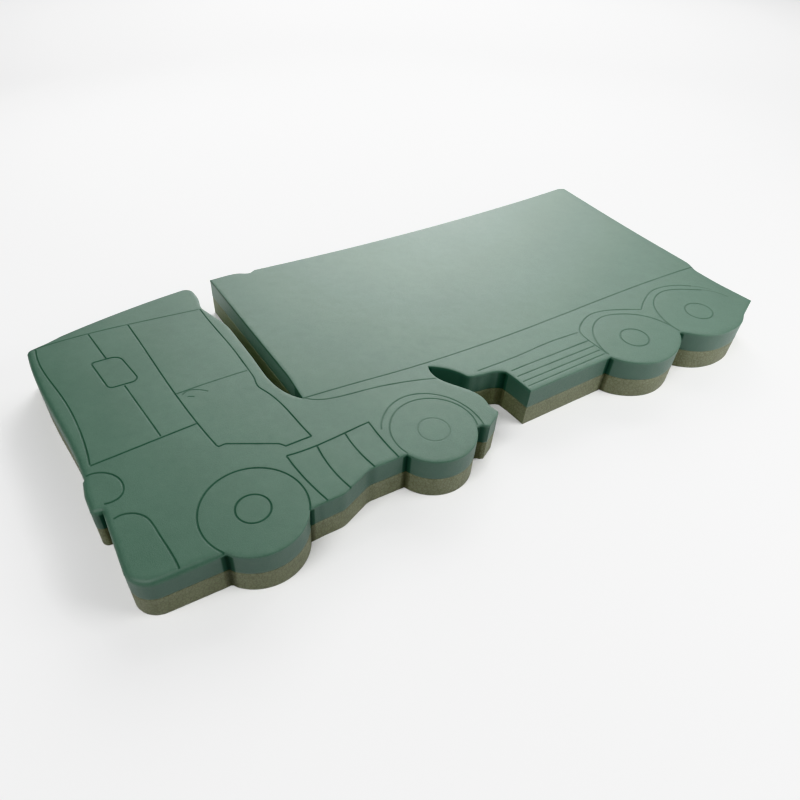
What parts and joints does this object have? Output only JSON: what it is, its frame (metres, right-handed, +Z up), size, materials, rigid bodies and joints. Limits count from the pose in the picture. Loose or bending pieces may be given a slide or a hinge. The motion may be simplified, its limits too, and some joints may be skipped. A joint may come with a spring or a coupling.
{
  "type": "floral foam tribute base",
  "caption": "Flat floral foam base cut to the side view of an articulated lorry, glued to a rigid board, with guide lines pressed into its top face.",
  "frame": {"origin": "middle of the outline's box, on the underside of the backing board", "axes": "+X along the drawn lorry from its nose to its tail, +Y across it from the wheels to the roof, +Z up out of the foam's top face"},
  "size_m": [0.9742, 0.5039, 0.06],
  "materials": {
    "floral_foam": "dry matte, fine cellular phenolic foam, sage green",
    "adhesive": "thin cured film",
    "backing": "matte olive-brown expanded polystyrene"
  },
  "bodies": {
    "root": {"floral_foam": "floral_foam", "glue_film": "adhesive", "backing_board": "backing"}
  },
  "joints": []
}
